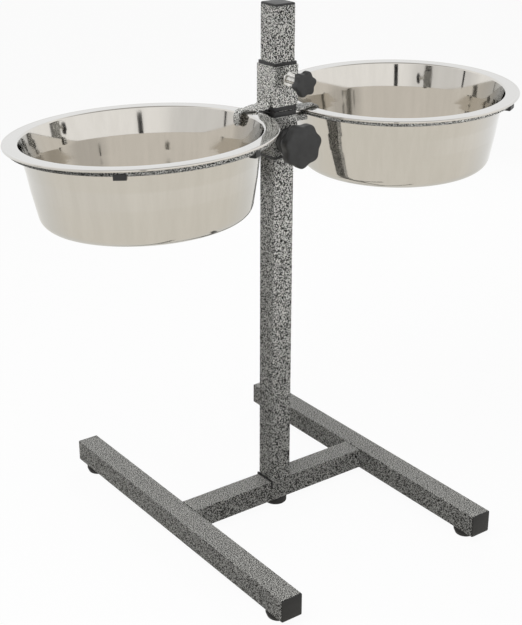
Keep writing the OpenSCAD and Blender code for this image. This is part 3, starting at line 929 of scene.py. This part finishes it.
def grey_side(tree, direction):
    """A socket that is white, and greyer towards the camera's left, where metal shows a plain wall."""
    unit = add(tree, "ShaderNodeVectorMath", operation="NORMALIZE")
    tree.links.new(direction, unit.inputs[0])
    facing = add(tree, "ShaderNodeVectorMath", operation="DOT_PRODUCT")
    tree.links.new(unit.outputs["Vector"], facing.inputs[0])
    facing.inputs[1].default_value = heading(GREY_WALL_AZIMUTH)
    shade = ramp(tree, facing.outputs["Value"], [(0.6, grey(1.0)), (0.9, grey(GREY_WALL_LEVEL))])
    return shade.outputs["Color"]


def product(tree, first, second):
    """A socket with the product of two colours."""
    mixed = add(tree, "ShaderNodeMix", data_type="RGBA", blend_type="MULTIPLY")
    mixed.inputs["Factor"].default_value = 1.0
    tree.links.new(first, mixed.inputs["A"])
    tree.links.new(second, mixed.inputs["B"])
    return mixed.outputs["Result"]


def white_else(tree, share, colour):
    """A socket that is a colour where a share is 1, and white where it is 0."""
    mixed = add(tree, "ShaderNodeMix", data_type="RGBA")
    tree.links.new(share, mixed.inputs["Factor"])
    mixed.inputs["A"].default_value = (1.0, 1.0, 1.0, 1.0)
    tree.links.new(colour, mixed.inputs["B"])
    return mixed.outputs["Result"]


def white_world():
    """White to the eye, white with a darker ceiling to metal and glass, and a soft light on the object."""
    world = bpy.data.worlds.new("studio")
    bpy.context.scene.world = world
    world.use_nodes = True
    tree = world.node_tree
    eye, shine = ray_shares(tree)
    seen = add(tree, "ShaderNodeMath", operation="MAXIMUM")
    tree.links.new(eye, seen.inputs[0])
    tree.links.new(shine, seen.inputs[1])
    level = add(tree, "ShaderNodeMapRange")
    level.inputs["To Min"].default_value = WORLD_LIGHT
    level.inputs["To Max"].default_value = 1.0
    tree.links.new(seen.outputs["Value"], level.inputs["Value"])
    tree.links.new(level.outputs["Result"], tree.nodes["Background"].inputs["Strength"])
    place = add(tree, "ShaderNodeTexCoord")
    height = add(tree, "ShaderNodeSeparateXYZ")
    tree.links.new(place.outputs["Generated"], height.inputs["Vector"])
    ceiling = ramp(tree, height.outputs["Z"], [(0.72, grey(1.0)), (0.92, grey(CEILING_LEVEL))])
    shown = product(tree, ceiling.outputs["Color"], grey_side(tree, place.outputs["Generated"]))
    tree.links.new(white_else(tree, shine, shown), tree.nodes["Background"].inputs["Color"])


def pale_floor():
    """A wide pale floor that keeps the object's shadow: white to the eye, and whiter far off to metal."""
    bpy.ops.mesh.primitive_plane_add(size=FLOOR_SIZE)
    floor = bpy.context.object
    floor.name = "floor"
    material, tree, shader = new_material("pale_floor")
    shader.inputs["Roughness"].default_value = 0.9
    eye, shine = ray_shares(tree)
    tone = ramp(tree, eye, [(0.0, grey(FLOOR_LIGHT)), (1.0, grey(FLOOR_COLOUR))])
    tree.links.new(tone.outputs["Color"], shader.inputs["Base Color"])
    place = add(tree, "ShaderNodeTexCoord")
    away = add(tree, "ShaderNodeVectorMath", operation="LENGTH")
    tree.links.new(place.outputs["Object"], away.inputs[0])
    far = add(tree, "ShaderNodeMapRange", interpolation_type="SMOOTHSTEP")
    far.inputs["From Min"].default_value = NEAR_FLOOR
    far.inputs["From Max"].default_value = FAR_FLOOR
    tree.links.new(away.outputs["Value"], far.inputs["Value"])
    warmth = ramp(tree, far.outputs["Result"], [(0.0, NEAR_FLOOR_COLOUR), (1.0, grey(1.0))], smooth=False)
    far_side = white_else(tree, far.outputs["Result"], grey_side(tree, place.outputs["Object"]))
    shown = product(tree, warmth.outputs["Color"], far_side)
    glow = add(tree, "ShaderNodeEmission", Strength=1.0)
    tree.links.new(white_else(tree, shine, shown), glow.inputs["Color"])
    share = add(tree, "ShaderNodeMath", operation="MULTIPLY_ADD")
    share.inputs[1].default_value = FLOOR_GLOW
    tree.links.new(eye, share.inputs[0])
    tree.links.new(shine, share.inputs[2])
    mix = add(tree, "ShaderNodeMixShader")
    tree.links.new(share.outputs["Value"], mix.inputs["Fac"])
    tree.links.new(shader.outputs["BSDF"], mix.inputs[1])
    tree.links.new(glow.outputs["Emission"], mix.inputs[2])
    tree.links.new(mix.outputs["Shader"], tree.nodes["Material Output"].inputs["Surface"])
    floor.data.materials.append(material)


def softbox(name, azimuth, elevation, distance, size, radiance, aim=RIM_HEIGHT, spread=180):
    """A square lamp aimed at a height on the post, at an azimuth and an elevation in degrees."""
    middle = Vector((0, 0, aim))
    rise = math.radians(elevation)
    place = middle + distance * (heading(azimuth) * math.cos(rise) + Vector((0, 0, math.sin(rise))))
    lamp = bpy.data.lights.new(name, "AREA")
    lamp.size = size
    lamp.energy = radiance * math.pi * size * size
    lamp.spread = math.radians(spread)
    thing = bpy.data.objects.new(name, lamp)
    thing.location = place
    thing.rotation_euler = (middle - place).to_track_quat("-Z", "Y").to_euler()
    thing.visible_camera = False
    thing.visible_glossy = False
    bpy.context.scene.collection.objects.link(thing)


def dark_card(name, azimuth, distance, width, height):
    """A dark upright card that only metal sees, on the floor at an azimuth."""
    towards = heading(azimuth)
    across = Vector((-towards.y, towards.x, 0))
    shape = bmesh.new()
    corners = []
    for sideways, up in ((-0.5, 0), (0.5, 0), (0.5, 1), (-0.5, 1)):
        corners.append(towards * distance + across * width * sideways + Vector((0, 0, height * up)))
    shape.faces.new([shape.verts.new(corner) for corner in corners])
    mesh = finished(shape, name)
    material, _, shader = new_material(name)
    shader.inputs["Base Color"].default_value = (0.05, 0.05, 0.05, 1.0)
    shader.inputs["Roughness"].default_value = 0.9
    mesh.materials.append(material)
    card = bpy.data.objects.new(name, mesh)
    card.visible_camera = False
    card.visible_diffuse = False
    card.visible_shadow = False
    bpy.context.scene.collection.objects.link(card)


def photo_camera():
    """The camera of the photograph."""
    camera = bpy.data.cameras.new("camera")
    camera.sensor_fit = "VERTICAL"
    camera.sensor_height = SENSOR_HEIGHT
    camera.lens = CAMERA_LENS
    thing = bpy.data.objects.new("camera", camera)
    aim = Euler((math.pi / 2 - CAMERA_PITCH, 0, CAMERA_TURN)).to_matrix()
    turn = aim @ Matrix.Rotation(CAMERA_ROLL, 3, "Z")
    thing.matrix_world = Matrix.Translation(CAMERA_PLACE) @ turn.to_4x4()
    bpy.context.scene.collection.objects.link(thing)
    bpy.context.scene.camera = thing


white_world()
pale_floor()
dark_card("camera_card", azimuth=0, distance=1.45, width=0.12, height=0.95)
dark_card("side_card", azimuth=-86, distance=6.0, width=0.25, height=2.6)
softbox("left_light", azimuth=-42, elevation=52, distance=1.25, size=1.2, radiance=3.8)
softbox("front_light", azimuth=54, elevation=-7, distance=0.62, size=0.16, radiance=9.8, spread=120)
softbox("post_light", azimuth=-12, elevation=2, distance=0.8, size=0.15, radiance=2.2, aim=0.33, spread=40)
softbox("back_light", azimuth=170, elevation=12, distance=1.4, size=0.8, radiance=3.0)
photo_camera()
bpy.context.scene.view_settings.view_transform = "Standard"
